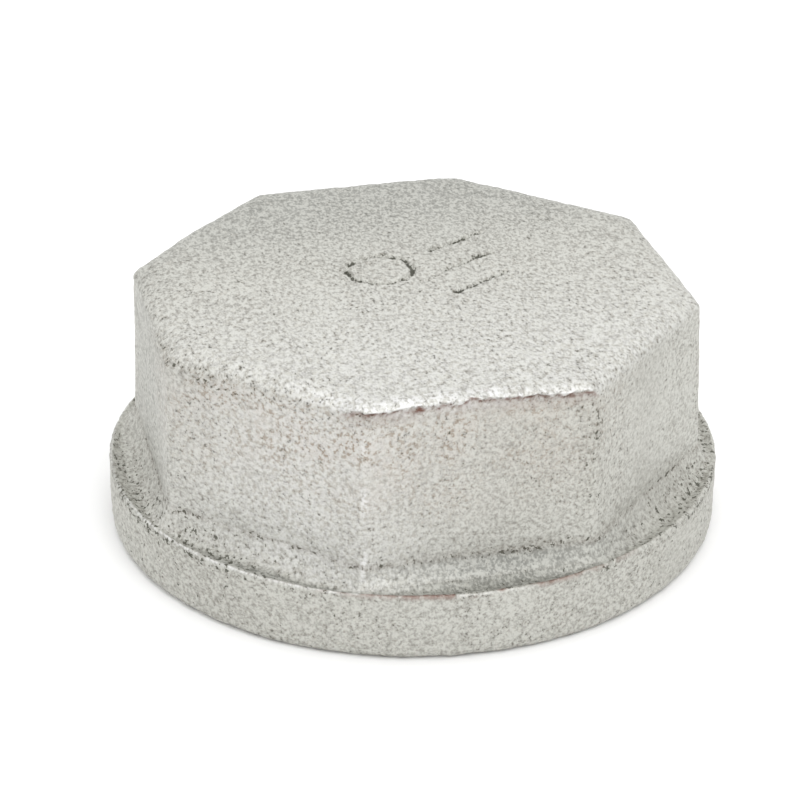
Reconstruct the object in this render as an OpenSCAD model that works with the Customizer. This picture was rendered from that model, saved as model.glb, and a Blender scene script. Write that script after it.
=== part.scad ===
// Octagonal pipe cap for a 1 1/4 inch (DN 32) steel pipe, in zinc-coated malleable iron.
// It stands on its mouth: Z = 0 is the mouth face and +Z points to the closed end.
// The real cap is one casting. Here it is divided, face to face, at its own regions.

/* [Pipe thread] */
// Major diameter of the female thread, measured at its roots
thread_major_d = 41.91; // [41.5:0.01:42.5]
// Distance from one thread ridge to the next
thread_pitch = 2.309; // [2:0.001:2.4]
// Number of full ridges
thread_ridges = 6; // [2:1:6]
// Diameter of the mouth chamfer at the mouth face
mouth_d = 43.8; // [43:0.1:46]
// Diameter of the cored hollow past the thread
core_d = 38; // [36:0.5:38.5]

/* [Mouth band] */
// Outer diameter of the round band
band_d = 55; // [53:0.5:60]
// Height of the band
band_h = 6.1; // [5:0.1:7]
// Rounding of the band's lower outer edge
band_foot_round = 0.9; // [0.2:0.1:1.5]
// Rounding of the band's upper outer edge
band_rim_round = 0.4; // [0.2:0.1:1]

/* [Wrench octagon] */
// Distance across the flats at the upper edge
octagon_flats = 47; // [45.5:0.1:48]
// Draft of each flat, which leans inwards as it rises
draft_angle = 2; // [0.5:0.5:3]
// Rounding of the upright corners
corner_round = 1.2; // [0.4:0.1:2]
// Width of the hollow fillet at the foot of the octagon
foot_fillet_w = 1; // [0.5:0.1:1.1]
// Height of that fillet
foot_fillet_h = 1.6; // [0.5:0.1:2]

/* [Closed end] */
// Height of the flat end face above the mouth face
end_face_z = 22.4; // [21:0.1:24]
// Thickness of the end wall
end_wall_t = 3.6; // [3:0.1:4.5]
// Width of the rolled edge around the end face
roll_w = 2.6; // [1:0.1:4]
// Height of that rolled edge
roll_h = 1.1; // [0.4:0.1:1.5]

/* [Cast mark] */
// Depth of the mark sunk in the end face
mark_depth = 0.4; // [0.1:0.05:0.8]
// Width of the mark's strokes
mark_stroke = 0.6; // [0.5:0.1:1.5]
// Outer diameter of the mark's ring
mark_ring_d = 6.4; // [5:0.2:8]
// Length of the mark's bars
mark_bar_l = 6.5; // [4:0.5:7]

/* [Hidden] */

$fn = 96;
corner_fn = 32;
cut = 1;            // how far a cutting shape runs past the face that it cuts

// Whitworth form: flanks at 27.5 degrees and a depth of 0.640327 pitches
flank_angle = 27.5;
thread_depth = 0.640327 * thread_pitch;
major_r = thread_major_d / 2;
minor_r = major_r - thread_depth;
flank_h = thread_depth * tan(flank_angle);
crest_h = thread_pitch / 2 - flank_h;
mouth_r = mouth_d / 2;
first_crest_z = mouth_r - minor_r + crest_h / 2;
thread_end_z = first_crest_z + (thread_ridges - 0.5) * thread_pitch;

// The hollow past the thread, left as the core made it
core_r = core_d / 2;
core_round = 1.2;
runout_h = major_r - core_r;
ceiling_z = end_face_z - end_wall_t;

// The octagon, whose flats spread by the draft from the rolled edge down to the band
edge_z = end_face_z - roll_h;
fillet_top_z = band_h + foot_fillet_h;
fillet_steps = 3;
roll_steps = 6;
slice = 0.01;       // thickness of a slice in the hull of the rolled edge
function flats_at(z) = octagon_flats + 2 * (edge_z - z) * tan(draft_angle);

// The mark is a ring beside a column of bars
mark_centre = [1.5, 2];
mark_gap = 0.8;
bar_count = 3;
bar_step = 4.5;
bar_tilt = 30;

zinc = "#cbccc6";
cut_iron = "#8f918f";

// Octagon with rounded corners and its flats square to X and Y
module octagon(flats) {
    offset(r = corner_round, $fn = corner_fn)
        offset(delta = -corner_round)
            rotate(22.5)
                circle(r = flats / 2 / cos(22.5), $fn = 8);
}

// Octagonal prism that narrows from one width across flats to the other
module tapered_octagon(z0, flats0, z1, flats1) {
    translate([0, 0, z0])
        linear_extrude(height = z1 - z0, scale = flats1 / flats0)
            octagon(flats0);
}

// Everything that the core and the tap leave open inside the cap
module bore() {
    translate([0, 0, -cut])
        cylinder(r = major_r, h = thread_end_z + cut);
    translate([0, 0, thread_end_z])
        cylinder(r1 = major_r, r2 = core_r, h = runout_h);
    cylinder(r1 = mouth_r, r2 = major_r, h = mouth_r - major_r);
    rotate_extrude() {
        square([core_r, ceiling_z - core_round]);
        square([core_r - core_round, ceiling_z]);
        translate([core_r - core_round, ceiling_z - core_round])
            intersection() {
                circle(r = core_round);
                square(core_round);
            }
    }
}

// Plain mark of no meaning: a ring and a column of slanting bars
module cast_mark() {
    ring_r = mark_ring_d / 2;
    translate([mark_centre.x, mark_centre.y, end_face_z - mark_depth]) {
        translate([-ring_r - mark_gap, 0, 0])
            difference() {
                cylinder(r = ring_r, h = mark_depth + cut);
                translate([0, 0, -cut])
                    cylinder(r = ring_r - mark_stroke, h = mark_depth + 3 * cut);
            }
        for (i = [0 : bar_count - 1])
            translate([mark_gap + mark_bar_l / 2, (i - (bar_count - 1) / 2) * bar_step, 0])
                rotate(bar_tilt)
                    translate([-mark_bar_l / 2, -mark_stroke / 2, 0])
                        cube([mark_bar_l, mark_stroke, mark_depth + cut]);
    }
}

// Plate that closes the cap, with a rolled edge around the flat end face
module end_wall() {
    color(zinc)
        difference() {
            hull() {
                translate([0, 0, ceiling_z])
                    linear_extrude(slice)
                        octagon(flats_at(ceiling_z));
                for (i = [0 : roll_steps])
                    let (a = 90 * i / roll_steps)
                        translate([0, 0, edge_z + roll_h * sin(a) - slice])
                            linear_extrude(slice)
                                octagon(octagon_flats - 2 * roll_w * (1 - cos(a)));
            }
            cast_mark();
        }
}

// Side wall that a wrench grips
module octagon_wall() {
    color(zinc)
        difference() {
            tapered_octagon(fillet_top_z, flats_at(fillet_top_z), ceiling_z, flats_at(ceiling_z));
            bore();
        }
}

// Foot of the wall, which flares by a hollow fillet: steep slopes within shallow ones, all standing
// on the band, whose upper ends lie around a quarter ellipse
module foot_fillet() {
    color(zinc)
        difference() {
            for (i = [1 : fillet_steps])
                let (
                    a0 = 90 * (i - 1) / fillet_steps,
                    a1 = 90 * i / fillet_steps,
                    slope = foot_fillet_w * (sin(a1) - sin(a0)) / (foot_fillet_h * (cos(a0) - cos(a1))),
                    top = foot_fillet_h * (1 - cos(a1)),
                    top_flats = flats_at(fillet_top_z) + 2 * foot_fillet_w * (1 - sin(a1))
                )
                    tapered_octagon(band_h, top_flats + 2 * top * slope, band_h + top, top_flats);
            bore();
        }
}

// Round band that stiffens the mouth
module mouth_band() {
    outer_r = band_d / 2;
    color(zinc)
        difference() {
            rotate_extrude() {
                square([outer_r - band_foot_round, band_h]);
                translate([0, band_foot_round])
                    square([outer_r, band_h - band_foot_round - band_rim_round]);
                translate([outer_r - band_foot_round, band_foot_round])
                    circle(r = band_foot_round);
                translate([outer_r - band_rim_round, band_h - band_rim_round])
                    circle(r = band_rim_round);
                translate([0, band_h - band_rim_round])
                    square([outer_r - band_rim_round, band_rim_round]);
            }
            bore();
        }
}

// Thread ridges, one ring a pitch, standing on the tapped wall
module pipe_thread() {
    color(cut_iron)
        for (i = [0 : thread_ridges - 1])
            translate([0, 0, first_crest_z + i * thread_pitch])
                rotate_extrude()
                    polygon([
                        [major_r, -crest_h / 2 - flank_h],
                        [major_r, crest_h / 2 + flank_h],
                        [minor_r, crest_h / 2],
                        [minor_r, -crest_h / 2]
                    ]);
}

end_wall();
octagon_wall();
foot_fillet();
mouth_band();
pipe_thread();
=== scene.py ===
import math
import bpy
import numpy as np
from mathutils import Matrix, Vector


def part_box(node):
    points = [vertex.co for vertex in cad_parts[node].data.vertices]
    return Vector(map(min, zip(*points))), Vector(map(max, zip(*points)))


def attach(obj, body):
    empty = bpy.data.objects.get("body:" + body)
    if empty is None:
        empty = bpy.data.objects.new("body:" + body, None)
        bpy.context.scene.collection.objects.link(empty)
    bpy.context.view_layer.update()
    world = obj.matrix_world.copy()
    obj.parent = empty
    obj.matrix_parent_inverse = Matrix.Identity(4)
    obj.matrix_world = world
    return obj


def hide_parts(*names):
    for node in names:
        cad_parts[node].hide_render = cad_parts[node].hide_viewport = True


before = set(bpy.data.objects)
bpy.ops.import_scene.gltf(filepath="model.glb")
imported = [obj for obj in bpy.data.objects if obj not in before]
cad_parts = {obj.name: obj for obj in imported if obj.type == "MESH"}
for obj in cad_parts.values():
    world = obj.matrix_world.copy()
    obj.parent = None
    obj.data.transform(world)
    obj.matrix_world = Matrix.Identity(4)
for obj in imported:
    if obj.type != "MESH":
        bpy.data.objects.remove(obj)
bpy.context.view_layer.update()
print("frame loaded:", sorted(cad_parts))

mm = 0.001  # the helpers work in millimetres and the meshes are in metres
turn = 2 * math.pi


# sizes that the frame gives

def nodeBox(node):
    low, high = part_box(node)
    return np.array(low) / mm, np.array(high) / mm


def nodeRadii(node):
    # smallest and largest distance of a node's points from the Z axis
    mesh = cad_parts[node].data
    places = np.zeros(len(mesh.vertices) * 3)
    mesh.vertices.foreach_get("co", places)
    places = places.reshape(-1, 3) / mm
    away = np.hypot(places[:, 0], places[:, 1])
    return away.min(), away.max()


endHigh = nodeBox("end_wall")[1]
wallHigh = nodeBox("octagon_wall")[1]
footHigh = nodeBox("foot_fillet")[1]
bandHigh = nodeBox("mouth_band")[1]
threadLow, threadHigh = nodeBox("pipe_thread")

endFaceZ = endHigh[2]
ceilingZ = wallHigh[2]
filletTopZ = footHigh[2]
bandTopZ = bandHigh[2]
tappedTopZ = threadHigh[2]
bandRadius = bandHigh[0]
halfFlatsCeiling = endHigh[0]  # half the width across flats, at the end wall's underside
halfFlatsFoot = wallHigh[0]  # and at the top of the fillet
halfFlatsToe = footHigh[0]  # and at the fillet's toe, on the band
filletWidth = halfFlatsToe - halfFlatsFoot
draft = math.atan((halfFlatsFoot - halfFlatsCeiling) / (ceilingZ - filletTopZ))
coreRound = 1.2  # rounding of the hollow's corner under the end wall
ceilingRadius = nodeRadii("octagon_wall")[0]  # where that corner meets the end wall
coreRadius = ceilingRadius + coreRound
minorRadius, majorRadius = nodeRadii("pipe_thread")


# noise, as whole arrays

latticeSize = 256  # how many random values there are, a power of 2
noiseGain = 1.7  # brings the rolling noise to about -1 to 1


class Lattice:
    # random values fixed to a lattice of cells, the same in every run
    def __init__(self, seed):
        draw = np.random.RandomState(seed)
        self.table = draw.permutation(latticeSize)
        spread = draw.normal(size=(latticeSize, 3))
        self.slopes = spread / np.linalg.norm(spread, axis=1, keepdims=True)
        self.jitter = draw.uniform(0.15, 0.85, size=(latticeSize, 3))  # where a pit lies in its cell
        self.chance = draw.uniform(size=latticeSize)
        self.extent = draw.uniform(0.45, 1.0, size=latticeSize)  # its share of the largest radius

    def pick(self, corner):
        # one of the random values for each cell
        index = 0
        for axis in range(3):
            index = self.table[(index + corner[..., axis]) & (latticeSize - 1)]
        return index

    def rolling(self, points, size):
        # gradient noise: each cell corner has a slope, blended by a quintic, so it runs from about -1 to 1
        p = points / size
        cell = np.floor(p).astype(int)
        inside = p - cell
        fade = inside ** 3 * (inside * (inside * 6 - 15) + 10)
        total = np.zeros(points.shape[:-1])
        for step in np.ndindex(2, 2, 2):
            slope = self.slopes[self.pick(cell + step)]
            weight = np.prod(np.where(step, fade, 1 - fade), axis=-1)
            total += weight * np.sum(slope * (inside - step), axis=-1)
        return total * noiseGain

    def pits(self, points, size, share, radius):
        # one round spot in a share of the cells: 1 at its centre, falling to 0 at its own radius
        p = points / size
        cell = np.floor(p).astype(int)
        deepest = np.zeros(points.shape[:-1])
        for step in np.ndindex(3, 3, 3):
            corner = cell + np.array(step) - 1
            h = self.pick(corner)
            away = np.linalg.norm(p - corner - self.jitter[h], axis=-1) * size
            near = np.clip(1 - away / (radius * self.extent[h]), 0, 1)
            deepest = np.maximum(deepest, np.where(self.chance[h] < share, near, 0))
        return deepest * deepest * (3 - 2 * deepest)


lattice = Lattice(11)  # each use shifts its points by its own amount, so that no two patterns agree


def smooth(x, low, high):
    # 0 below low, 1 above high and a smooth cubic between
    t = np.clip((x - low) / (high - low), 0, 1)
    return t * t * (3 - 2 * t)


castSkin = {
    # size, height and shift of each layer, in mm: the sand mould's slow waves, lumps, grain and fine grain
    "layers": ((7.0, 0.05, 0.0), (2.4, 0.045, 31.7), (0.95, 0.04, 77.1), (0.5, 0.028, 12.9)),
    # cell, share of the cells, radius, depth, shift and darkness of the pits and of the pores
    "pits": ((2.3, 0.3, 0.42, 0.10, 0.0, 1.0), (0.9, 0.3, 0.26, 0.05, 53.3, 0.7)),
}


def skinHeight(points):
    # height of the cast skin over its smooth form, in mm, as layers of noise less the pits,
    # and how dark the pits are
    height = sum(rise * lattice.rolling(points + shift, size) for size, rise, shift in castSkin["layers"])
    dark = 0
    for cell, share, radius, depth, shift, darkness in castSkin["pits"]:
        pit = lattice.pits(points + shift, cell, share, radius)
        height = height - depth * pit
        dark = np.maximum(dark, darkness * pit)
    return height, dark


# the rings that the casting is made of

castForm = {
    "columns": 880,  # points around every ring, a multiple of 8
    "rowStep": 0.17,  # height of a row of the skin, in mm
    "insideStep": 0.45, "coneStep": 0.3,  # and of a row inside, on the bores and on the cones
    "rollRows": 18,
    "cornerRound": 1.2,  # the octagon's upright corners
    "rollWidth": 2.4,  # soft rolled edge around the end face, which is larger at the worn corners
    "rollHeight": 0.9,
    "wornAt": 180.0, "wornReach": 75.0,  # direction of the corners that are the most worn, in degrees
    "cornerWider": 0.8, "cornerHigher": 0.5,
    "cornerSag": 0.25,  # how far the rim drops at those corners
    "anyRound": 0.8,  # extra rounding of the end face's corners, which is larger at two soft ones
    "softAt": (67.5, -22.5), "softRound": (8.0, 2.5),
    "crownRise": 0.4,  # rise of the end face from its rim to its centre
    "liftPower": 8,  # how close to the rim the end face follows the rim's own rise and sag
    "underFade": 0.06,  # share of the end wall's underside over which its skin starts
}
lipForm = {
    "from": -119.0, "to": -66.0,  # where the edge with the lip starts and ends, in degrees around the axis
    "fadeIn": 6.0, "fadeOut": 2.5,
    "rollWidth": 1.2,  # its sharper roll
    "rollHeight": 0.5,
    "lift": 0.32, "fall": 0.18,  # how much higher than the rest it starts, and what it loses on its way
    "bow": 0.26,  # rise of its lower line between the two corners
    "out": 0.2,  # how far its bead stands out
    # the bead is brightened as a painted highlight, and the line below it darkened as a painted shadow
    "beadAbove": 0.1, "beadHalf": 0.3, "beadHighlight": 0.55,
    "under": 0.11,  # how deep the line below the bead is
    "lineBelow": 0.28, "lineHalf": 0.16, "lineShadow": 0.6,
    "wander": 0.16, "wanderSize": 1.3,  # how far both stray up and down, slowly and quickly
    "ragged": 0.26, "raggedSize": 0.55,
    "strength": 0.95, "strengthSwing": 0.7, "strengthSize": 1.2,  # how strong both are, and how that varies
    "weakest": 0.55, "strongest": 1.25,
    "stain": 0.3, "stainDeep": 1.8,  # the stain under the line, and how far down it reaches
}
columns = castForm["columns"]
angles = np.arange(columns) * turn / columns


def octagonRadius(angle, halfFlats, corner):
    # distance from the axis to a rounded octagon: half its width / cos on a flat, and the far side of the
    # corner's own circle near a corner
    eighth = math.pi / 8
    fromFlat = (angle + eighth) % (2 * eighth) - eighth
    toCorner = eighth - np.abs(fromFlat)
    centre = (halfFlats - corner) / math.cos(eighth)
    arc = centre * np.cos(toCorner) + np.sqrt(np.maximum(corner ** 2 - (centre * np.sin(toCorner)) ** 2, 0))
    onFlat = halfFlats * np.tan(np.abs(fromFlat)) < (halfFlats - corner) * math.tan(eighth)
    return np.where(onFlat, halfFlats / np.cos(fromFlat), arc)


def axisPoints(radius, angle, z):
    # points at a distance from the axis, a direction around it and a height
    radius, angle, z = np.broadcast_arrays(radius, angle, z)
    return np.stack([radius * np.cos(angle), radius * np.sin(angle), z], axis=-1)


def ringPoints(radius, z):
    # rings of such points, with the radius and height given as rows by columns
    return axisPoints(radius, angles, z)


def planNormals(points):
    # level outward direction at each point, from its neighbours around the ring
    along = np.roll(points, -1, axis=1) - np.roll(points, 1, axis=1)
    outward = np.stack([along[..., 1], -along[..., 0], np.zeros(along.shape[:-1])], axis=-1)
    return outward / np.linalg.norm(outward, axis=-1, keepdims=True)


# how the edge of the end face changes around the casting: corner is 1 at each corner, worn only at some,
# and lip is 1 along the edge that has the lip and falls to 0 past its ends
heading = (np.degrees(angles) + 180) % 360 - 180
corner = 0.5 - 0.5 * np.cos(8 * angles)
fromWorn = np.abs((heading - castForm["wornAt"] + 180) % 360 - 180)
worn = corner * (1 - smooth(fromWorn, 0, castForm["wornReach"]))
lip = smooth(heading, lipForm["from"], lipForm["from"] + lipForm["fadeIn"])
lip = lip * (1 - smooth(heading, lipForm["to"] - lipForm["fadeOut"], lipForm["to"]))
lipPast = smooth(heading, lipForm["from"], lipForm["to"])
plainWidth = castForm["rollWidth"] + castForm["cornerWider"] * worn
plainHeight = castForm["rollHeight"] + castForm["cornerHigher"] * worn
lipHeight = lipForm["rollHeight"] - lipForm["bow"] * (1 - corner)
rollWidth = plainWidth + (lipForm["rollWidth"] - plainWidth) * lip
rollHeight = plainHeight + (lipHeight - plainHeight) * lip
rimLift = lip * (lipForm["lift"] - lipForm["fall"] * lipPast) - (1 - lip) * castForm["cornerSag"] * worn
rimZ = endFaceZ - castForm["crownRise"] + rimLift
edgeZ = rimZ - rollHeight
extraRound = np.full(columns, castForm["anyRound"])
halfSector = 22.5  # from a corner to the middle of a flat, in degrees
for cornerAt, cornerExtra in zip(castForm["softAt"], castForm["softRound"]):
    extraRound[np.abs(heading - cornerAt) < halfSector] = cornerExtra


def halfFlatsAt(z):
    # half the width across flats, which shrinks evenly with height by the draft
    return halfFlatsCeiling - (z - ceilingZ) * math.tan(draft)


def roughen(points, tilt, grimeAndShade, share=1.0):
    # moves the skin along its own normal, which leans up by tilt, and returns one mark for its pits, its
    # dirt and its painted shade
    outward = planNormals(points)
    normal = outward * np.cos(tilt)[..., None]
    normal[..., 2] += np.sin(tilt)
    height, pit = skinHeight(points)
    height, pit = height * share, pit * share
    return points + normal * height[..., None], np.clip(np.maximum(pit, grimeAndShade), 0, 1)


def rowsBetween(start, end, step):
    # even values about a step apart, as a column
    return np.linspace(start, end, max(2, int(round(abs(end - start) / step)) + 1))[:, None]


weather = {
    "patchSize": 3.2, "patchMean": 0.55,  # size of the patches that the marks come and go in, in mm
    "warmFrom": 8.0, "warmTo": 21.0,  # heights between which the brown tinge of the front grows
    "warmAt": -116.0, "warmReach": 75.0,  # its direction and half its width, in degrees
    "warmLeast": 0.35,  # its share between the patches
    "calmAt": -45.0, "calmReach": 24.0,  # the smoothest flat
    "sideCalm": 0.42,  # how much smoother all the sides are than the end face
    "brightFrom": -6.0, "brightTo": 20.0, "bright": 0.24,  # painted light: the end face is brighter to the front
    "backFrom": 0.0, "backTo": 20.0, "backShade": 0.6,  # and painted shade makes it duller to the back
    "edgeAt": -106.0, "edgeReach": 50.0,  # the rolled edge with the painted highlight
    "edgeIn": (0.96, 2.4), "edgeHighlight": 0.55,  # distances from the flat at which it fades
    "specksAt": -152.0, "specksReach": 32.0, "specks": 0.4,  # the edge with the most specks around it
    "specksBelow": 2.0, "specksIn": (0.6, 1.2),
    "litFlatAt": -128.0, "litFlatReach": 50.0, "pale": 0.28,  # the flat painted paler by painted light, and the dullest flat
    "dullAt": 178.0, "dullReach": 34.0, "dull": 0.35,
    "cornerHighlightAt": -112.5, "cornerHighlightReach": 1.6, "cornerHighlightShare": 0.55,  # a painted highlight down one corner
    "dirtyCorner": -67.5, "dirtyReach": 5.0, "cornerDirt": 0.55,
    "dirtySides": (-160.0, -28.0), "sideReach": 58.0,
    "sideDirt": 0.42, "bandDirt": 0.24,
    "endFade": 0.6,  # the end face's own marks are full from so far below it
    "bandFade": 0.4, "ledgeBelow": 1.2, "ledgeAbove": 0.8,  # and how the band's and ledge's marks fade
}


def towards(direction, reach, points):
    # 1 at a direction around the axis, in degrees, falling smoothly to 0 on both sides of it
    at = np.degrees(np.arctan2(points[..., 1], points[..., 0]))
    return 1 - smooth(np.abs((at - direction + 180) % 360 - 180), 0, reach)


def inset(points):
    # distance inwards from the nearest flat
    flats = np.arange(8) * math.pi / 4
    out = [points[..., 0] * math.cos(flat) + points[..., 1] * math.sin(flat) for flat in flats]
    return halfFlatsCeiling - np.max(out, axis=0)


def weathering(points):
    # large-scale marks that run across all the pieces of the casting, painted light and painted shade among
    # them
    w = weather
    y, z = points[..., 1], points[..., 2]
    rollFoot = edgeZ.min()
    onEnd = smooth(z, rollFoot, endFaceZ - w["endFade"])
    onBand = 1 - smooth(z, bandTopZ - w["bandFade"], bandTopZ)
    onLedge = smooth(z, bandTopZ - w["ledgeBelow"], bandTopZ - w["bandFade"])
    onLedge = onLedge * (1 - smooth(z, bandTopZ + w["bandFade"], filletTopZ + w["ledgeAbove"]))
    onWall = 1 - onEnd - onBand
    fromFlat = inset(points)
    patches = np.clip(w["patchMean"] + lattice.rolling(points + 3.3, w["patchSize"]), 0, 1)
    # the brown tinge of the front, and the smoother sides
    warm = towards(w["warmAt"], w["warmReach"], points) * smooth(z, w["warmFrom"], w["warmTo"]) * (1 - onEnd)
    warm = warm * (w["warmLeast"] + (1 - w["warmLeast"]) * patches)
    calm = np.maximum(towards(w["calmAt"], w["calmReach"], points), w["sideCalm"]) * (1 - onEnd)
    # painted light: the front of the end face is painted brighter, its rolled edge carries a painted
    # highlight, a flat is painted paler, and a painted highlight runs down one corner
    edge = 1 - smooth(fromFlat, *w["edgeIn"])
    edge = w["edgeHighlight"] * edge * towards(w["edgeAt"], w["edgeReach"], points)
    bright = np.maximum(w["bright"] * smooth(-y, w["brightFrom"], w["brightTo"]), edge) * onEnd
    pale = w["pale"] * towards(w["litFlatAt"], w["litFlatReach"], points)
    cornerHighlight = w["cornerHighlightShare"] * towards(w["cornerHighlightAt"], w["cornerHighlightReach"], points) * patches
    bright = np.maximum(bright, np.maximum(pale, cornerHighlight) * onWall)
    # dirt down one corner, on two sides of the ledge and band, with painted shade on the ledge, and in
    # specks along an edge
    dirtAndShade = w["cornerDirt"] * towards(w["dirtyCorner"], w["dirtyReach"], points) * (1 - onEnd) * patches
    sides = np.maximum(*[towards(side, w["sideReach"], points) for side in w["dirtySides"]])
    dirtAndShade = np.maximum(dirtAndShade, sides * (w["sideDirt"] * onLedge + w["bandDirt"] * onBand))
    onEdge = smooth(z, rollFoot - w["specksBelow"], rollFoot) * (1 - smooth(fromFlat, *w["specksIn"]))
    dirtAndShade = np.maximum(dirtAndShade, w["specks"] * towards(w["specksAt"], w["specksReach"], points) * onEdge)
    # painted shade: the back of the end face is painted duller; and one flat is duller
    murk = w["backShade"] * smooth(y, w["backFrom"], w["backTo"]) * onEnd
    murk = murk + w["dull"] * towards(w["dullAt"], w["dullReach"], points) * onWall
    return {"warm": warm, "calm": calm, "bright": bright, "grimeAndShade": dirtAndShade, "murk": murk}


def skinStrip(points, tilt, grimeAndShade=0.0, share=1.0, **more):
    # rows of cast skin, with the marks of its pits, its own dirt and painted shade, and its place on the
    # casting
    placed, mark = roughen(points, tilt, grimeAndShade, share)
    strip = weathering(points)
    strip["grimeAndShade"] = np.maximum(strip["grimeAndShade"], mark)
    strip["points"] = placed
    strip.update(more)
    return strip


# meshes

def gridFaces(rowCount, around, closed=False):
    # quads of a grid of rows that closes around each row, and from the last row to the first if closed
    rows = np.arange(rowCount if closed else rowCount - 1)
    row, column = np.meshgrid(rows, np.arange(around), indexing="ij")
    nextRow, nextColumn = (row + 1) % rowCount, (column + 1) % around
    quads = [row * around + column, row * around + nextColumn,
             nextRow * around + nextColumn, nextRow * around + column]
    return np.stack(quads, axis=-1).reshape(-1, 4)


def signedVolume(places, faces):
    # six times the volume, by the tetrahedra from the origin to each half of each face
    a, b, c = places[faces[:, 0]], places[faces[:, 1]], places[faces[:, 2]]
    total = np.einsum("ij,ij->i", a, np.cross(b, c)).sum()
    if faces.shape[1] == 4:
        d = places[faces[:, 3]]
        total += np.einsum("ij,ij->i", a, np.cross(c, d)).sum()
    return total


def makePiece(name, nodes, places, faceGroups, marks, sharpAngle=48):
    # one closed mesh from points in mm and groups of quads or triangles, with its marks as point attributes
    volume = sum(signedVolume(places, faces) for faces in faceGroups)
    if volume < 0:
        faceGroups = [faces[:, ::-1] for faces in faceGroups]
    mesh = bpy.data.meshes.new(name)
    sizes = np.concatenate([np.full(len(faces), faces.shape[1]) for faces in faceGroups])
    corners = np.concatenate([faces.ravel() for faces in faceGroups])
    mesh.vertices.add(len(places))
    mesh.vertices.foreach_set("co", (places * mm).astype(np.float32).ravel())
    mesh.loops.add(len(corners))
    mesh.loops.foreach_set("vertex_index", corners.astype(np.int32))
    mesh.polygons.add(len(sizes))
    mesh.polygons.foreach_set("loop_start", (np.cumsum(sizes) - sizes).astype(np.int32))
    mesh.polygons.foreach_set("loop_total", sizes.astype(np.int32))
    mesh.update(calc_edges=True)
    mesh.validate()
    mesh.polygons.foreach_set("use_smooth", np.ones(len(mesh.polygons), bool))
    mesh.set_sharp_from_angle(angle=math.radians(sharpAngle))
    for markName, values in marks.items():
        attribute = mesh.attributes.new(markName, "FLOAT", "POINT")
        attribute.data.foreach_set("value", np.asarray(values, np.float32).ravel())
    piece = bpy.data.objects.new(name, mesh)
    bpy.context.scene.collection.objects.link(piece)
    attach(piece, "root")
    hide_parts(*nodes)
    print(f"{name}: {len(places)} points, {len(sizes)} faces")
    return piece


# the grime mark holds dirt and painted shade, the murk mark dull murk and painted shade, and the bright mark
# painted light and painted highlights
markNames = ("grimeAndShade", "murk", "cut", "rust", "bright", "warm", "calm")


def joinMarks(strips):
    # every mark as one array over the rows of all the strips
    marks = {}
    for key in markNames:
        parts = [np.broadcast_to(strip.get(key, 0.0), strip["points"].shape[:-1]) for strip in strips]
        marks[key] = np.concatenate([part.ravel() for part in parts])
    return marks


def ringPiece(name, node, strips):
    # a ring with a hole: strips of rows that go once around its section and close on themselves
    places = np.concatenate([strip["points"] for strip in strips])
    faces = gridFaces(len(places), columns, closed=True)
    return makePiece(name, [node], places.reshape(-1, 3), [faces], joinMarks(strips))


def insideStrip(radii, heights, cut=0.0):
    # plain rows of the bored or cored inside
    points = ringPoints(np.asarray(radii, float)[:, None], np.asarray(heights, float)[:, None])
    return {"points": points, "cut": cut}


# the octagon's side wall and its flared foot

footForm = {
    "rows": 17,
    "straight": 0.6,  # share of a straight slope in the hollow fillet
    "creaseGrimeAndShade": 0.6,  # dirt and painted shade in the crease at its top, which comes and goes
    "dirtMean": 0.8, "dirtSwing": 0.7, "dirtSize": 1.4, "dirtLeast": 0.5,
    "dirtDown": (0.02, 0.25),  # where that dirt and painted shade ends, as shares of the fillet
    "grimeUp": 0.35, "murkyUp": 0.7,  # how far it reaches up the wall, and how much more where murky
    "stain": 0.15,  # how rusty that dirt is
    "grimeToe": 0.25, "toeFrom": 0.75,  # dirt at the fillet's toe
    "murkyAt": -84.0, "murkyReach": 40.0, "murk": 0.75,  # the dullest stretch of the foot and the ledge
}


def creaseDirtAndShade(points):
    # dirt and painted shade in the crease at the wall's foot, which is heavier in some places than in others
    f = footForm
    heavy = f["dirtMean"] + f["dirtSwing"] * lattice.rolling(points + 21.2, f["dirtSize"])
    return f["creaseGrimeAndShade"] * np.clip(heavy, f["dirtLeast"], 1)


def murkyFoot(points):
    # 1 in the middle of the foot's dullest stretch
    return towards(footForm["murkyAt"], footForm["murkyReach"], points)


def buildOctagonWall():
    # rings of the rounded octagon, which narrow by the draft, and round rings inside
    z = rowsBetween(filletTopZ, ceilingZ, castForm["rowStep"])
    points = ringPoints(octagonRadius(angles, halfFlatsAt(z), castForm["cornerRound"]), z)
    dirtyUp = footForm["grimeUp"] + footForm["murkyUp"] * murkyFoot(points)
    foot = creaseDirtAndShade(points) * (1 - smooth(points[..., 2] - filletTopZ, 0, dirtyUp))
    outside = skinStrip(points, np.full(foot.shape, draft), foot, rust=footForm["stain"] * foot)
    # rounded corner under the end wall, cored wall, and the cone down to the tapped bore
    s = np.linspace(0, math.pi / 2, 8)
    rounded = insideStrip(ceilingRadius + coreRound * np.sin(s), ceilingZ - coreRound * (1 - np.cos(s)))
    runoutZ = tappedTopZ + majorRadius - coreRadius
    coreZ = rowsBetween(ceilingZ - coreRound, runoutZ, castForm["insideStep"])[1:, 0]
    cored = insideStrip(np.full(len(coreZ), coreRadius), coreZ)
    coneZ = rowsBetween(runoutZ, tappedTopZ, castForm["coneStep"])[1:, 0]
    cone = insideStrip(majorRadius - (coneZ - tappedTopZ), coneZ, cut=1.0)
    tapZ = rowsBetween(tappedTopZ, filletTopZ, castForm["insideStep"])[1:, 0]
    tapped = insideStrip(np.full(len(tapZ), majorRadius), tapZ, cut=1.0)
    return ringPiece("octagonWall", "octagon_wall", [outside, rounded, cored, cone, tapped])


octagonWall = buildOctagonWall()


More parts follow.
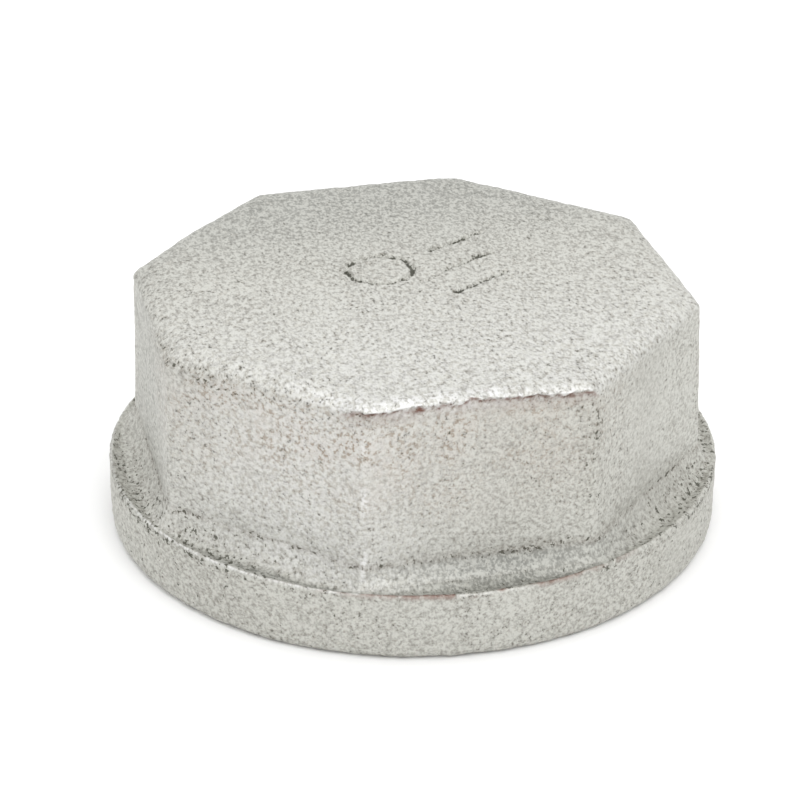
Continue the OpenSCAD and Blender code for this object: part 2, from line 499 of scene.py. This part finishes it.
def buildFootFillet():
    # profile from the wall, at s = 0, to the toe, a quarter turn on: part straight slope, part ellipse
    s = np.linspace(0, math.pi / 2, footForm["rows"])[:, None]
    share = s / (math.pi / 2)
    straight = footForm["straight"]
    spread = filletWidth * (straight * share + (1 - straight) * (1 - np.cos(s)))
    fall = straight * share + (1 - straight) * np.sin(s)
    z = filletTopZ - (filletTopZ - bandTopZ) * fall
    radius = octagonRadius(angles, halfFlatsFoot + spread, castForm["cornerRound"] + spread)
    tilt = np.broadcast_to(np.maximum(s, draft), (len(s), columns))
    points = ringPoints(radius, z)
    grimeAndShade = creaseDirtAndShade(points) * (1 - smooth(share, *footForm["dirtDown"]))
    grimeAndShade = grimeAndShade + footForm["grimeToe"] * smooth(share, footForm["toeFrom"], 1.0)
    outside = skinStrip(points, tilt, grimeAndShade, rust=footForm["stain"] * grimeAndShade,
                        murk=footForm["murk"] * murkyFoot(points))
    tapZ = rowsBetween(bandTopZ, filletTopZ, castForm["insideStep"])[:, 0]
    inside = insideStrip(np.full(len(tapZ), majorRadius), tapZ, cut=1.0)
    return ringPiece("footFillet", "foot_fillet", [outside, inside])


footFillet = buildFootFillet()


# the round band at the mouth

bandForm = {
    "rimRound": 0.28, "rimRows": 6,
    "footRound": 0.9, "footRows": 9,
    "ledgeRows": 20,
    "troughDepth": 0.3, "troughPower": 1.2,
    "wide": (0.2, 1.6),  # widths of the ledge between which that trough grows, in mm
    "ledgeDirtAndShade": 0.15, "troughDirtAndShade": 0.3, "dirtFrom": (0.3, 0.75),  # dirt and painted shade on the ledge, more in its trough from these shares of the way to the rim
    "murkyAt": -130.0, "murkyReach": 32.0, "murk": 0.8,  # painted shade darkening the dullest stretch of that trough
    "murkFrom": (0.25, 0.6), "murkTo": (0.85, 1.0), "footMurkTo": (0.8, 1.0),
    "chamferTop": 43.8,  # diameter of the chamfer at the mouth's face
    "rustAt": -92.0, "rustReach": 44.0,  # broken rusty line along the rim
    "dashSize": 1.5, "dashLevels": (-0.15, 0.2), "dashWidth": 0.16, "dashOver": 0.1,
    "rimHighlightAt": -142.0, "rimHighlightReach": 84.0, "rimHighlight": 0.55,  # painted highlight along the rim
    "rimHighlightTo": (0.3, 0.8),
    "footDirt": 0.45, "footDirtFrom": (0.2, 1.2),  # dirt around the foot, by its turn in radians
    "skinTo": (0.9, math.pi / 2),  # where the cast skin ends on it
}


def rimLine(points, away):
    # broken rusty line along the rim in front, which is 0 far away from the rim
    b = bandForm
    dashes = smooth(lattice.rolling(points + 66.6, b["dashSize"]), *b["dashLevels"])
    return towards(b["rustAt"], b["rustReach"], points) * dashes * (1 - smooth(away, 0.0, b["dashWidth"]))


def buildMouthBand():
    b = bandForm
    rim, foot = b["rimRound"], b["footRound"]
    toe = octagonRadius(angles, halfFlatsToe, castForm["cornerRound"] + filletWidth)
    # ledge from the fillet's toe, an octagon, out to the rim, a circle, with a shallow trough across it
    t = np.linspace(0, 1, b["ledgeRows"])[:, None]
    radius = toe + (bandRadius - rim - toe) * t
    wide = smooth(bandRadius - rim - toe, *b["wide"])
    z = bandTopZ - b["troughDepth"] * wide * np.sin(math.pi * t) ** b["troughPower"]
    points = ringPoints(radius, z)
    footMurk = footForm["murk"] * murkyFoot(points) * (1 - smooth(t, *b["footMurkTo"]))
    trough = smooth(t, *b["murkFrom"]) * (1 - smooth(t, *b["murkTo"]))
    murk = np.maximum(footMurk, b["murk"] * towards(b["murkyAt"], b["murkyReach"], points) * trough)
    dirtAndShade = b["ledgeDirtAndShade"] + b["troughDirtAndShade"] * smooth(t, *b["dirtFrom"]) * wide
    level = np.full(radius.shape, math.pi / 2)
    ledge = skinStrip(points, level, dirtAndShade, rust=rimLine(points, 1 - t), murk=murk)
    # rolled rim, side and rolled foot, where s is the turn from level
    s = np.linspace(math.pi / 2, 0, b["rimRows"])[1:, None]
    points = ringPoints(bandRadius - rim + rim * np.cos(s), bandTopZ - rim + rim * np.sin(s))
    past = 1 - s / (math.pi / 2)
    rusty = rimLine(points, b["dashOver"] * past)
    # painted highlight along the rounded rim, fading down its turn and kept off the rusty dashes
    rimHighlight = b["rimHighlight"] * towards(b["rimHighlightAt"], b["rimHighlightReach"], points)
    rimStrip = skinStrip(points, np.broadcast_to(s, points.shape[:2]), rust=rusty,
                         bright=rimHighlight * (1 - smooth(past, *b["rimHighlightTo"])) * (1 - rusty))
    z = rowsBetween(bandTopZ - rim, foot, castForm["rowStep"])[1:]
    points = ringPoints(bandRadius, z)
    side = skinStrip(points, np.zeros(points.shape[:2]))
    s = np.linspace(0, math.pi / 2, b["footRows"])[1:, None]
    points = ringPoints(bandRadius - foot + foot * np.cos(s), foot - foot * np.sin(s))
    footStrip = skinStrip(points, np.broadcast_to(-s, points.shape[:2]),
                          b["footDirt"] * smooth(s, *b["footDirtFrom"]), share=1 - smooth(s, *b["skinTo"]))
    # faced mouth, chamfer and tapped bore
    mouthRadius = b["chamferTop"] / 2
    faceRadii = rowsBetween(bandRadius - foot, mouthRadius, castForm["insideStep"])[1:, 0]
    face = insideStrip(faceRadii, np.zeros(len(faceRadii)), cut=1.0)
    chamferRadii = rowsBetween(mouthRadius, majorRadius, castForm["coneStep"])[1:, 0]
    chamfer = insideStrip(chamferRadii, mouthRadius - chamferRadii, cut=1.0)
    tapZ = rowsBetween(mouthRadius - majorRadius, bandTopZ, castForm["insideStep"])[1:, 0]
    tapped = insideStrip(np.full(len(tapZ), majorRadius), tapZ, cut=1.0)
    return ringPiece("mouthBand", "mouth_band", [ledge, rimStrip, side, footStrip, face, chamfer, tapped])


mouthBand = buildMouthBand()


# the closed end, with its sunk mark

markForm = {
    "centre": (1.5, 2.0), "gap": 0.8, "ringRadius": 3.2, "stroke": 0.6, "depth": 0.4,
    "bars": 3, "barLength": 6.5, "barStep": 4.5, "barTilt": 30.0,
    "edgeIn": 0.2, "edgeOut": 0.06,  # how far a stroke's wall spreads
    "ragged": (0.24, 0.9), "fineRagged": (0.144, 0.4),  # how far its line strays, and over what length
    "sunkMean": 0.85, "sunkSwing": 0.55, "sunkSize": 1.6, "sunkLeast": 0.15,  # how evenly it is sunk
    # how dark the sunk strokes are, as dirt and painted shade
    "dirtAndShade": 1.35,
}


def markDepth(points):
    # share of the mark's depth at each point, by the distance to the ring's line and to each bar
    m = markForm
    x, y = points[..., 0] - m["centre"][0], points[..., 1] - m["centre"][1]
    nearest = np.abs(np.hypot(x + m["ringRadius"] + m["gap"], y) - m["ringRadius"] + m["stroke"] / 2)
    tilt = math.radians(m["barTilt"])
    for i in range(m["bars"]):
        across = x - m["gap"] - m["barLength"] / 2
        up = y - (i - (m["bars"] - 1) / 2) * m["barStep"]
        along = across * math.cos(tilt) + up * math.sin(tilt)
        aside = up * math.cos(tilt) - across * math.sin(tilt)
        past = np.maximum(np.abs(along) - m["barLength"] / 2 + m["stroke"] / 2, 0)
        nearest = np.minimum(nearest, np.hypot(past, aside))
    nearest = nearest + m["ragged"][0] * lattice.rolling(points + 5.5, m["ragged"][1])
    nearest = nearest + m["fineRagged"][0] * lattice.rolling(points + 15.5, m["fineRagged"][1])
    line = 1 - smooth(nearest, m["stroke"] / 2 - m["edgeIn"], m["stroke"] / 2 + m["edgeOut"])
    sunk = m["sunkMean"] + m["sunkSwing"] * lattice.rolling(points + 91.0, m["sunkSize"])
    return line * np.clip(sunk, m["sunkLeast"], 1.0)


def crownZ(points):
    # a shallow dome, which meets the lifted and sagging stretches of the rim
    away = np.hypot(points[..., 0], points[..., 1]) / (halfFlatsCeiling / math.cos(math.pi / 8))
    lift = np.interp(np.arctan2(points[..., 1], points[..., 0]), angles, rimLift, period=turn)
    return endFaceZ - castForm["crownRise"] * away ** 2 + lift * away ** castForm["liftPower"]


def squareDisc(side):
    # a square grid bent to a unit disc: each square ring becomes a circle, and the rim has 4 * side steps
    u, v = np.meshgrid(np.linspace(-1, 1, side + 1), np.linspace(-1, 1, side + 1), indexing="ij")
    reach = np.maximum(np.abs(u), np.abs(v))
    wide = np.abs(u) >= np.abs(v)
    with np.errstate(divide="ignore", invalid="ignore"):
        angle = np.where(wide, np.where(u < 0, math.pi, 0) + math.pi / 4 * v / u,
                         np.where(v < 0, 1.5 * math.pi, math.pi / 2) - math.pi / 4 * u / v)
    angle = np.nan_to_num(angle) % turn
    return reach, angle


def discFaces(side, rimIndex, firstInside, around):
    # quads of the square grid, whose rim points are those of the ring that it fills
    reach, angle = squareDisc(side)
    index = np.zeros(reach.shape, int)
    onRim = np.isclose(reach, 1)
    index[onRim] = rimIndex + np.round(angle[onRim] / turn * around).astype(int) % around
    index[~onRim] = firstInside + np.arange((~onRim).sum())
    quads = [index[:-1, :-1], index[1:, :-1], index[1:, 1:], index[:-1, 1:]]
    return np.stack(quads, axis=-1).reshape(-1, 4), reach[~onRim], angle[~onRim]


def buildEndWall():
    cornerRound = castForm["cornerRound"]
    # short stretch of the side wall, then the rolled edge as a quarter ellipse
    share = rowsBetween(0, 1, castForm["rowStep"] / (edgeZ.mean() - ceilingZ))
    z = ceilingZ + (edgeZ - ceilingZ) * share
    radius = octagonRadius(angles, halfFlatsAt(z), cornerRound)
    tilt = np.full(z.shape, draft)
    s = np.linspace(0, math.pi / 2, castForm["rollRows"])[1:, None]
    over = 1 - np.cos(s)
    rolled = octagonRadius(angles, halfFlatsAt(edgeZ) - rollWidth * over, cornerRound + extraRound * over)
    points = ringPoints(radius, z)
    rollPoints = ringPoints(rolled, edgeZ + rollHeight * np.sin(s))
    rollPoints[..., 2] += (crownZ(rollPoints) - rimZ) * np.sin(s) ** 2
    rollTilt = np.maximum(np.arctan2(rollWidth * np.sin(s), rollHeight * np.cos(s)), draft)
    points = np.concatenate([points, rollPoints])
    tilt = np.concatenate([tilt, rollTilt])
    # the lip stands out at the top of its flat, over a thin undercut line; the line is darkened as painted
    # shadow and the bead brightened as a painted highlight
    f = lipForm
    astray = f["wander"] * lattice.rolling(points + 8.8, f["wanderSize"])
    astray = astray + f["ragged"] * lattice.rolling(points, f["raggedSize"])
    below = edgeZ - points[..., 2] + astray
    strength = f["strength"] + f["strengthSwing"] * lattice.rolling(points + 44.4, f["strengthSize"])
    strength = lip * np.clip(strength, f["weakest"], f["strongest"])
    line = strength * np.exp(-((below - f["lineBelow"]) / f["lineHalf"]) ** 2)
    bead = strength * np.exp(-((below + f["beadAbove"]) / f["beadHalf"]) ** 2)
    stain = smooth(below, 0, f["lineBelow"]) * (1 - smooth(below, f["lineBelow"], f["stainDeep"]))
    # painted shadow in dark grime and rust colour along the line, over the rust stain, and a painted
    # highlight on the bead
    strip = skinStrip(points, tilt, f["lineShadow"] * line, rust=np.maximum(line, f["stain"] * lip * stain))
    strip["bright"] = np.maximum(strip["bright"], f["beadHighlight"] * bead)
    out = f["out"] * bead - f["under"] * line
    skin = strip["points"] + planNormals(points) * out[..., None]
    strip["points"] = skin
    rowCount = len(skin)
    # the end face inside the rolled edge
    side = columns // 4
    faces, reach, angle = discFaces(side, (rowCount - 1) * columns, rowCount * columns, columns)
    width = np.interp(angle, angles, rollWidth, period=turn)
    flats = np.interp(angle, angles, halfFlatsAt(edgeZ), period=turn)
    rounding = cornerRound + np.interp(angle, angles, extraRound, period=turn)
    crown = axisPoints(reach * octagonRadius(angle, flats - width, rounding), angle, 0.0)
    crown[:, 2] = crownZ(crown)
    crownStrip = weathering(crown)
    height, pit = skinHeight(crown)
    sunk = markDepth(crown)
    crown[:, 2] += height - markForm["depth"] * sunk
    crownStrip["points"] = crown
    # dirt and painted shade in the sunk mark's strokes
    crownStrip["grimeAndShade"] = np.maximum(pit, markForm["dirtAndShade"] * sunk)
    # the underside: a coarser rim and disc, joined to the outer ring by one row of triangles
    under = columns // 2
    rimStart = rowCount * columns + len(crown)
    rim = axisPoints(ceilingRadius, np.arange(under) * turn / under, ceilingZ)
    underFaces, underReach, underAngle = discFaces(under // 4, rimStart, rimStart + under, under)
    disc = axisPoints(underReach * ceilingRadius, underAngle, ceilingZ)
    discHeight, discPit = skinHeight(disc)
    disc[:, 2] += discHeight * smooth(1 - underReach, 0.0, castForm["underFade"])
    k = np.arange(under)
    after = (k + 1) % under
    outer = np.stack([2 * k, 2 * k + 1, (2 * k + 2) % columns])
    joint = np.concatenate([
        np.stack([outer[0], rimStart + k, outer[1]], axis=-1),
        np.stack([outer[1], rimStart + k, rimStart + after], axis=-1),
        np.stack([outer[1], rimStart + after, outer[2]], axis=-1),
    ])
    places = np.concatenate([skin.reshape(-1, 3), crown, rim, disc])
    marks = joinMarks([strip, crownStrip, {"points": rim}, {"points": disc, "grimeAndShade": discPit}])
    groups = [np.concatenate([gridFaces(rowCount, columns), faces]), joint, underFaces[:, ::-1]]
    return makePiece("endWall", ["end_wall"], places, groups, marks)


endWall = buildEndWall()


# the pipe thread, one right-hand helical ridge

threadForm = {
    "pitch": 2.309,
    "stepsPerTurn": 360,
    "rootHalf": 0.96, "crestHalf": 0.19,  # half its width at the tapped wall and at its top, in mm
    "halves": (0.96, 0.528, 0.31, 0.19, 0.076),  # half widths down one side of its section
    "roundedOff": (0.0, 0.0, 0.02, 0.05, 0.0),  # and what the rounded crest takes off there
    "sunk": 0.02,  # how far the ridge's back lies inside the wall
    "leadIn": 1.2, "leadOut": 0.4,  # turns before the lowest full ridge and past the highest
    "runoutTurns": 0.4,  # turns over which the last of the ridge fades away
    "runoutWidth": 0.3,  # share of its width that is left at its end
    "lowest": 0.06, "pastTop": 0.3,  # how near it comes to the mouth's face, and how far past the wall
    "chatter": 0.012, "chatterSize": 0.8,  # unevenness of the cut
}


def buildPipeThread():
    # a section of (height, radius) points carried along a helix, which rises by one pitch a turn
    f = threadForm
    back = majorRadius + f["sunk"]
    half = np.array(f["halves"])
    flank = (f["rootHalf"] - half) / (f["rootHalf"] - f["crestHalf"])
    inward = np.clip(flank, 0, 1) * (majorRadius - minorRadius)
    radius = majorRadius - inward + np.array(f["roundedOff"])
    radius[0] = back
    sectionZ = np.concatenate([-half, half[::-1]])
    sectionR = np.concatenate([radius, radius[::-1]])
    firstZ = threadLow[2] + f["rootHalf"] - f["leadIn"] * f["pitch"]
    lastZ = threadHigh[2] - f["rootHalf"] + f["leadOut"] * f["pitch"]
    turns = (lastZ - firstZ) / f["pitch"]
    t = np.linspace(0, turns, int(turns * f["stepsPerTurn"]) + 1)[:, None]
    shrink = smooth(turns - t, 0.0, f["runoutTurns"])
    z = firstZ + f["pitch"] * t + sectionZ * (f["runoutWidth"] + (1 - f["runoutWidth"]) * shrink)
    away = back + (sectionR - back) * shrink
    z = np.clip(z, f["lowest"], tappedTopZ + f["pastTop"])
    # the mouth's chamfer cuts the first turn down, and the cut metal is slightly uneven
    away = np.maximum(away, bandForm["chamferTop"] / 2 - z + f["sunk"])
    angle = t * turn
    depth = np.clip((back - away) / (majorRadius - minorRadius), 0, 1)
    uneven = f["chatter"] * depth * lattice.rolling(axisPoints(away, angle, z), f["chatterSize"])
    places = axisPoints(away + uneven, angle, z)
    count, wide = z.shape
    k = np.arange(1, wide - 1)
    startCap = np.stack([np.zeros_like(k), k + 1, k], axis=-1)
    endCap = (count - 1) * wide + np.stack([np.zeros_like(k), k, k + 1], axis=-1)
    groups = [gridFaces(count, wide), np.concatenate([startCap, endCap])]
    return makePiece("pipeThread", ["pipe_thread"], places.reshape(-1, 3), groups, {},
                     sharpAngle=60)


pipeThread = buildPipeThread()
print("pieces made")


# materials

class Wire:
    # an output socket that takes part in Python arithmetic: each operator adds a Math node
    def __init__(self, tree, socket=None):
        self.tree = tree
        self.socket = socket

    def make(self, kind, settings=None, inputs=None, output=0):
        # any node: its settings first, then a value or a Wire for each input by its name or place
        node = self.tree.nodes.new(kind)
        for name, value in (settings or {}).items():
            setattr(node, name, value)
        for key, value in (inputs or {}).items():
            if isinstance(value, Wire):
                self.tree.links.new(value.socket, node.inputs[key])
            else:
                node.inputs[key].default_value = value
        return Wire(self.tree, node.outputs[output]) if node.outputs else None

    def output(self, place):
        # another output of the node that this wire comes from
        return Wire(self.tree, self.socket.node.outputs[place])

    def maths(self, operation, a, b=0.0):
        return self.make("ShaderNodeMath", {"operation": operation}, {0: a, 1: b})

    def __add__(self, other):
        return self.maths("ADD", self, other)

    def __sub__(self, other):
        return self.maths("SUBTRACT", self, other)

    def __rsub__(self, other):
        return self.maths("SUBTRACT", other, self)

    def __mul__(self, other):
        return self.maths("MULTIPLY", self, other)

    __radd__ = __add__
    __rmul__ = __mul__

    def between(self, low, high):
        # 0 below low, 1 above high and smooth between
        return self.make("ShaderNodeMapRange", {"interpolation_type": "SMOOTHSTEP"},
                         {"Value": self, "From Min": low, "From Max": high})

    def growing(self, least, more, low, high):
        # least, and up to so much more as this wire goes from low to high
        return least + more * self.between(low, high)

    def tint(self, a, b):
        # colour a where this wire is 0 and colour b where it is 1
        return self.make("ShaderNodeMix", {"data_type": "RGBA"}, {0: self, 6: a, 7: b}, output=2)

    def noise(self, place, sizeMm, detail, rough):
        return self.make("ShaderNodeTexNoise", {}, {"Vector": place, "Scale": 1 / (sizeMm * mm),
                                                    "Detail": detail, "Roughness": rough})


middle = 0.5  # the mean of a noise node


def newMaterial(name):
    # an empty node material, and a wire to make its nodes with
    material = bpy.data.materials.new(name)
    material.use_nodes = True
    material.node_tree.nodes.clear()
    return material, Wire(material.node_tree)


def finishMaterial(w, look, colour, rough, height):
    # metal with a colour, a roughness and a bump of the look's own height
    bump = w.make("ShaderNodeBump", {}, {"Strength": 1.0, "Distance": look["bump"] * mm, "Height": height})
    shader = w.make("ShaderNodeBsdfPrincipled", {}, {
        "Base Color": colour, "Metallic": look["metallic"], "Roughness": rough, "Normal": bump,
    })
    w.make("ShaderNodeOutputMaterial", inputs={"Surface": shader})


def grey(level, yellow=0.07):
    # an opaque grey that lacks a little blue
    return (level, level, level * (1 - yellow), 1.0)


zincLook = {
    # the bright colour serves painted light and painted highlights, the murk colour dull murk and painted
    # shade, and the grime colour dirt and painted shade
    "pale": grey(0.58), "dull": (0.335, 0.325, 0.295, 1.0), "bright": grey(0.82, 0.0),
    "warm": (0.53, 0.475, 0.425, 1.0), "grimeAndShade": (0.27, 0.26, 0.22, 1.0), "murk": (0.26, 0.265, 0.245, 1.0),
    "speck": (0.09, 0.09, 0.07, 1.0), "brown": (0.28, 0.215, 0.155, 1.0), "rust": (0.20, 0.11, 0.085, 1.0),
    "bare": grey(0.42, 0.03),
    "metallic": 0.6,
    "drawn": (1.0, 0.65, 1.0),  # the grain is a little longer along Y
    "shift": (0.37, 0.11, 0.23),  # keeps the finer noises apart from the grain
    # size in mm, detail and roughness of each noise
    "grain": (0.36, 2.5, 0.65), "fine": (0.2, 1.0, 0.5), "sparkle": (0.34, 2.0, 0.6),
    "spots": (0.44, 2.5, 0.6), "spotClouds": (4.5, 2.0, 0.5), "cloud": (6.0, 3.0, 0.5),
    "fineShare": 0.5,  # how much the fine noise crisps the grain
    "contrast": 1.12, "calmLoss": 0.52,  # contrast of the grain, and what a calm skin loses of it
    "paleness": 0.6, "cloudShare": 0.45, "crystals": (0.30, 0.68),
    # for each mark, its least share, how much more, and the levels of noise between which it grows
    "warmBy": (0.25, 0.5, 0.35, 0.65), "brightBy": (0.3, 1.0, 0.42, 0.60),
    "specksBy": (0.2, 0.6, 0.40, 0.62), "murkBy": (0.4, 0.7, 0.60, 0.38),
    "dirtBy": (0.08, 0.3, 0.60, 0.38), "rustBy": (0.5, 0.5, 0.3, 0.6),
    "specksFrom": (0.37, 0.26),  # levels of noise between which dark and brown specks start
    "brownFrom": (0.45, 0.39), "brownClouds": (0.30, 0.50),
    "brownLeast": 0.1, "brownWarm": 0.85,  # brown specks on plain zinc, and what the warm tinge adds
    "blotSpots": 1.7, "blotSparkle": 3.0, "blotFrom": (0.72, 0.92), "blot": 0.9,  # black dots in the dirt
    "rough": 0.48, "grainRough": 0.14, "dirtRough": 0.25, "cutRough": 0.34,
    "bump": 0.08,  # height that the grain adds, in mm, and shares of it for finer things
    "fineBump": 0.35, "lineBump": 0.06, "cutBump": 0.1,
    "lineStep": 0.22,  # distance between turned lines, in mm
    "cutFrom": (0.4, 0.6),  # levels of the cut mark between which bare metal starts
}


def zincMaterial():
    look = zincLook
    material, w = newMaterial("galvanisedSkin")
    place = w.make("ShaderNodeTexCoord", output=3)
    mark = {name: w.make("ShaderNodeAttribute", {"attribute_name": name}, output=2) for name in markNames}
    cut = mark["cut"].between(*look["cutFrom"])
    dirtAndShade = mark["grimeAndShade"]
    drawn = w.make("ShaderNodeVectorMath", {"operation": "MULTIPLY"}, {0: place, 1: look["drawn"]})
    shifted = w.make("ShaderNodeVectorMath", {"operation": "ADD"}, {0: drawn, 1: look["shift"]})
    cloud = w.noise(place, *look["cloud"])
    grain = w.noise(drawn, *look["grain"])
    fine, sparkle, spots, spotClouds = [w.noise(shifted, *look[name])
                                        for name in ("fine", "sparkle", "spots", "spotClouds")]
    # zinc with a fine grain of paler and duller crystals, whose contrast is low where the skin is calm
    contrast = look["contrast"] - look["calmLoss"] * mark["calm"]
    crisp = grain + look["fineShare"] * (fine - middle)
    crystals = (crisp.between(*look["crystals"]) - middle) * contrast
    paleness = look["paleness"] + crystals + look["cloudShare"] * (cloud - middle)
    colour = paleness.tint(look["dull"], look["pale"])
    colour = (mark["warm"] * spots.growing(*look["warmBy"])).tint(colour, look["warm"])
    # painted light: a bright tint for the lit front of the end face and the painted highlights
    colour = (mark["bright"] * sparkle.growing(*look["brightBy"])).tint(colour, look["bright"])
    # dark and brown specks, which gather in clouds
    specks = crisp.between(*look["specksFrom"]) * spotClouds.growing(*look["specksBy"]) * contrast
    colour = specks.tint(colour, look["speck"])
    brown = sparkle.between(*look["brownFrom"]) * spotClouds.between(*look["brownClouds"])
    brown = brown * (look["brownLeast"] + look["brownWarm"] * mark["warm"]) * contrast
    colour = brown.tint(colour, look["brown"])
    # murk and painted shade, dirt and painted shade with black dots in it, rust and cut metal
    colour = (mark["murk"] * crisp.growing(*look["murkBy"])).tint(colour, look["murk"])
    colour = (dirtAndShade * crisp.growing(*look["dirtBy"])).tint(colour, look["grimeAndShade"])
    blots = dirtAndShade + look["blotSpots"] * (middle - spots) + look["blotSparkle"] * (middle - sparkle)
    colour = (look["blot"] * blots.between(*look["blotFrom"])).tint(colour, look["speck"])
    colour = (mark["rust"] * spots.growing(*look["rustBy"])).tint(colour, look["rust"])
    colour = cut.tint(colour, look["bare"])
    rough = look["rough"] + look["grainRough"] * grain + look["dirtRough"] * dirtAndShade
    rough = rough * (1 - cut) + look["cutRough"] * cut
    # the grain's own height, and fine turned lines by the distance from the axis where metal was cut
    apart = w.make("ShaderNodeSeparateXYZ", inputs={0: place})
    distance = w.maths("SQRT", w.maths("POWER", apart, 2.0) + w.maths("POWER", apart.output(1), 2.0))
    lines = w.maths("SINE", distance * (turn / (look["lineStep"] * mm)))
    height = (grain + look["fineBump"] * fine) * (1 - cut) * contrast
    height = height + (look["lineBump"] * lines + look["cutBump"] * fine) * cut
    finishMaterial(w, look, colour, rough, height)
    return material


threadLook = {
    "bright": grey(0.46, 0.03), "dark": grey(0.28, 0.05), "metallic": 1.0,
    "stain": (3.0, 3.0, 0.5),  # size in mm, detail and roughness of its noises
    "tear": (0.9, 3.0, 0.6), "tearScale": (1.0, 1.0, 6.0),
    "stainFrom": (0.35, 0.7), "stained": 0.8,
    "rough": 0.28, "tearRough": 0.22,
    "bump": 0.008,
}


def threadMaterial():
    look = threadLook
    material, w = newMaterial("cutThread")
    place = w.make("ShaderNodeTexCoord", output=3)
    stain = w.noise(place, *look["stain"])
    tear = w.noise(w.make("ShaderNodeMapping", inputs={0: place, 3: look["tearScale"]}), *look["tear"])
    colour = (look["stained"] * stain.between(*look["stainFrom"])).tint(look["bright"], look["dark"])
    finishMaterial(w, look, colour, look["rough"] + look["tearRough"] * tear, tear)
    return material


zinc = zincMaterial()
for piece in (endWall, octagonWall, footFillet, mouthBand):
    piece.data.materials.append(zinc)
pipeThread.data.materials.append(threadMaterial())
print("materials made")


# floor, light and camera

studio = {
    "floorSize": 2.4, "floor": 0.92, "floorRough": 0.9,  # sizes in m and powers in W
    "worldLow": 0.94, "worldHigh": 1.21, "worldFull": 0.9,  # strength at the horizon and from so far up
    "topSize": 0.5, "topPlace": (0.0, 0.03, 0.55), "topPower": 0.5,
    "keySize": 0.1, "keyPlace": (0.03, -0.15, 0.2), "keyPower": 0.09,
}


def buildFloor():
    half = studio["floorSize"] / 2
    mesh = bpy.data.meshes.new("studioFloor")
    corners = [(-half, -half, 0), (half, -half, 0), (half, half, 0), (-half, half, 0)]
    mesh.from_pydata(corners, [], [(0, 1, 2, 3)])
    floor = bpy.data.objects.new("studioFloor", mesh)
    bpy.context.scene.collection.objects.link(floor)
    material = bpy.data.materials.new("studioPaper")
    material.use_nodes = True
    shader = material.node_tree.nodes["Principled BSDF"]
    shader.inputs["Base Color"].default_value = (studio["floor"],) * 3 + (1.0,)
    shader.inputs["Roughness"].default_value = studio["floorRough"]
    mesh.materials.append(material)


def softbox(name, place, size, power, aim=(0, 0, 0.01)):
    light = bpy.data.lights.new(name, "AREA")
    light.shape = "SQUARE"
    light.size = size
    light.energy = power
    lamp = bpy.data.objects.new(name, light)
    lamp.location = place
    lamp.rotation_euler = (Vector(aim) - Vector(place)).to_track_quat("-Z", "Y").to_euler()
    bpy.context.scene.collection.objects.link(lamp)


def buildWorld():
    world = bpy.data.worlds.new("studioWorld")
    world.use_nodes = True
    tree = world.node_tree
    tree.nodes.clear()
    w = Wire(tree)
    up = w.make("ShaderNodeSeparateXYZ", inputs={0: w.make("ShaderNodeTexCoord")}, output=2)
    low, high = studio["worldLow"], studio["worldHigh"]
    glow = up.growing(low, high - low, 0.0, studio["worldFull"])
    background = w.make("ShaderNodeBackground", {}, {"Color": (1, 1, 1, 1), "Strength": glow})
    w.make("ShaderNodeOutputWorld", inputs={"Surface": background})
    bpy.context.scene.world = world


cameraView = {
    "azimuth": -13.79, "elevation": 27.1,
    "distance": 226.3,  # in mm, from the point that it looks at
    "lens": 112.7,
    "height": 11.0,  # of that point above the floor
    "right": -1.11, "up": -0.87,  # and how far it looks to the side of it and above it
}


def buildCamera():
    c = cameraView
    a, e = math.radians(c["azimuth"]), math.radians(c["elevation"])
    back = Vector((math.sin(a) * math.cos(e), -math.cos(a) * math.cos(e), math.sin(e)))
    right = Vector((math.cos(a), math.sin(a), 0))
    above = back.cross(right)
    target = Vector((0, 0, c["height"]))
    place = target + back * c["distance"]
    aim = target + right * c["right"] + above * c["up"]
    data = bpy.data.cameras.new("studioCamera")
    data.lens = c["lens"]
    data.sensor_width = 36.0
    data.clip_start = 0.01
    data.clip_end = 20.0
    camera = bpy.data.objects.new("studioCamera", data)
    camera.location = place * mm
    camera.rotation_euler = (aim - place).to_track_quat("-Z", "Y").to_euler()
    bpy.context.scene.collection.objects.link(camera)
    bpy.context.scene.camera = camera


buildFloor()
buildWorld()
for box in ("top", "key"):
    softbox(box + "Softbox", studio[box + "Place"], studio[box + "Size"], studio[box + "Power"])
buildCamera()
bpy.context.scene.view_settings.view_transform = "Standard"
print("studio made")
